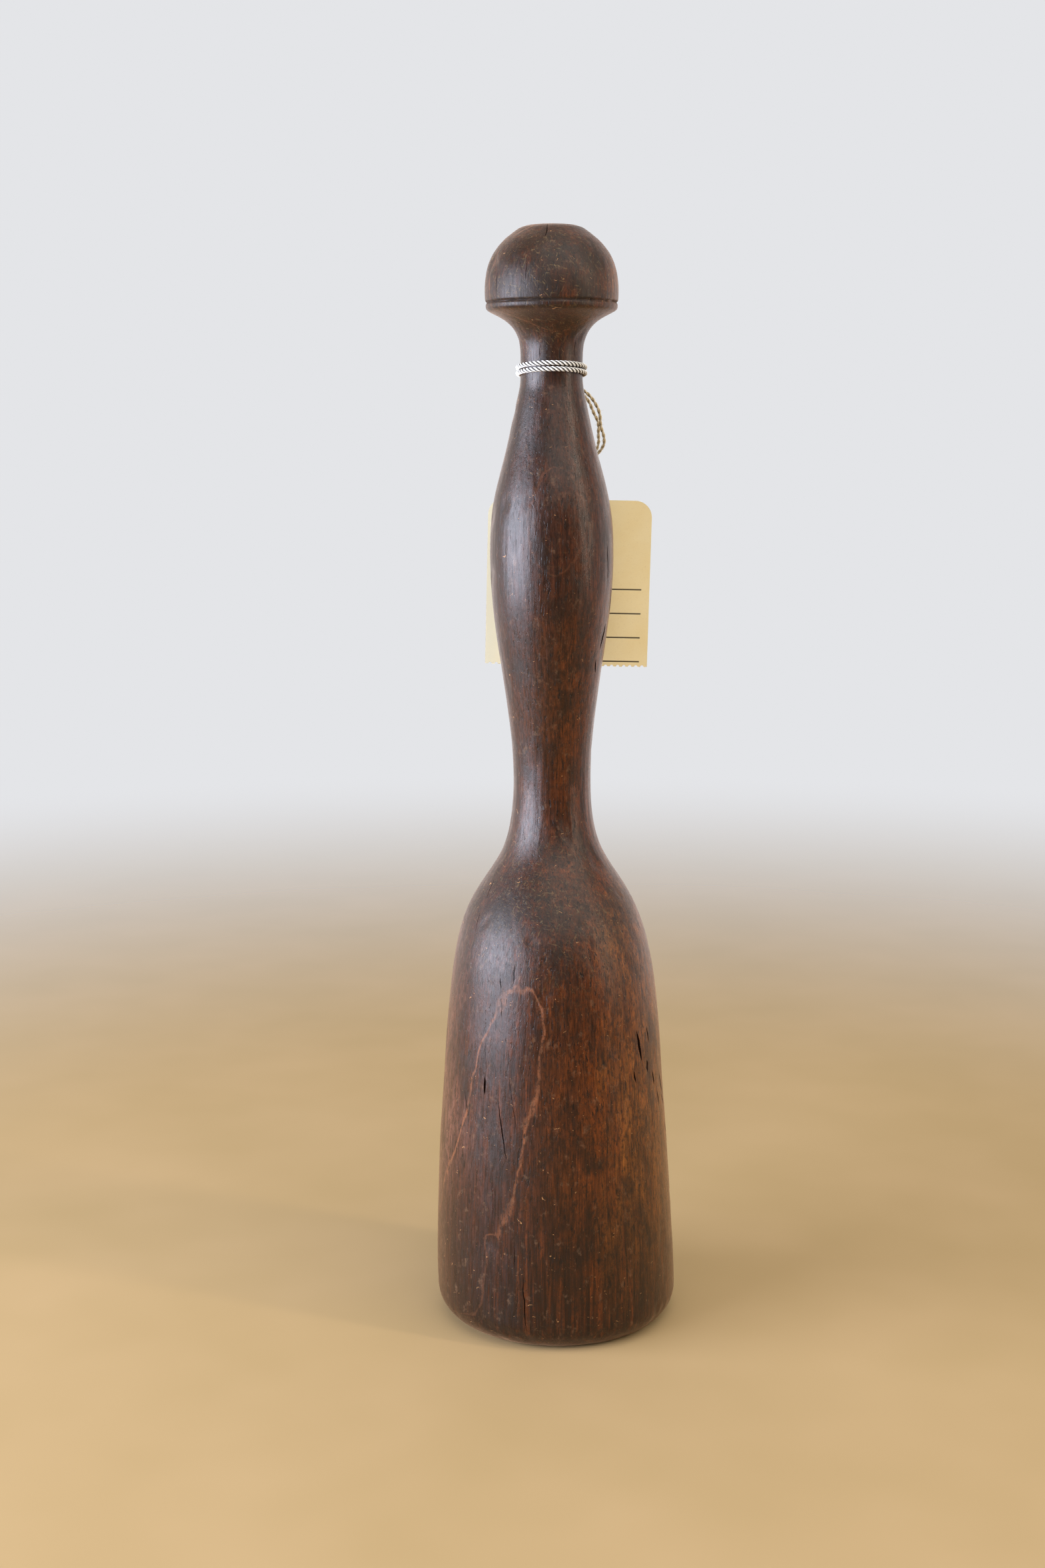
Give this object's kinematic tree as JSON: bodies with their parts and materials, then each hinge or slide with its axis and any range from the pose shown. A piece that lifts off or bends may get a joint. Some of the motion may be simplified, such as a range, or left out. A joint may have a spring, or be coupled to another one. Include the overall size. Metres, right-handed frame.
{
  "type": "meat mallet",
  "caption": "Turned wooden meat mallet with a flared head, slim waist, swelling grip and button knob, a cord wound round its neck and a hanging card tag on twine.",
  "frame": {"origin": "centre of the flat striking face that the mallet stands on", "axes": "+Z along the turning axis towards the knob; the tag hangs on the +Y side"},
  "size_m": [0.0652, 0.0652, 0.29],
  "materials": {
    "aged_hardwood": "satin",
    "cotton_cord": "matte",
    "jute_twine": "matte",
    "manila_card": "matte"
  },
  "bodies": {
    "mallet": {"mallet_body": "aged_hardwood"},
    "neck_cord": {"neck_cord_turns": "cotton_cord", "neck_cord_knot": "cotton_cord", "twine_knot": "jute_twine"},
    "tag_twine": {"tag_twine": "jute_twine"},
    "tag": {"tag_card": "manila_card"}
  },
  "joints": [
    {"name": "cord_turn", "type": "hinge", "parent": "mallet", "child": "neck_cord", "pos_m": [0, 0, 0.25395], "axis": [0, 0, 1], "continuous": true},
    {"name": "twine_lift", "type": "hinge", "parent": "neck_cord", "child": "tag_twine", "pos_m": [0.0033, 0.00925, 0.2496], "axis": [1, 0, 0], "range_deg": [0, 90]},
    {"name": "tag_swing", "type": "hinge", "parent": "tag_twine", "child": "tag", "pos_m": [0.0052, 0.0176, 0.2158], "axis": [0, 1, 0], "range_deg": [-45, 45]}
  ]
}
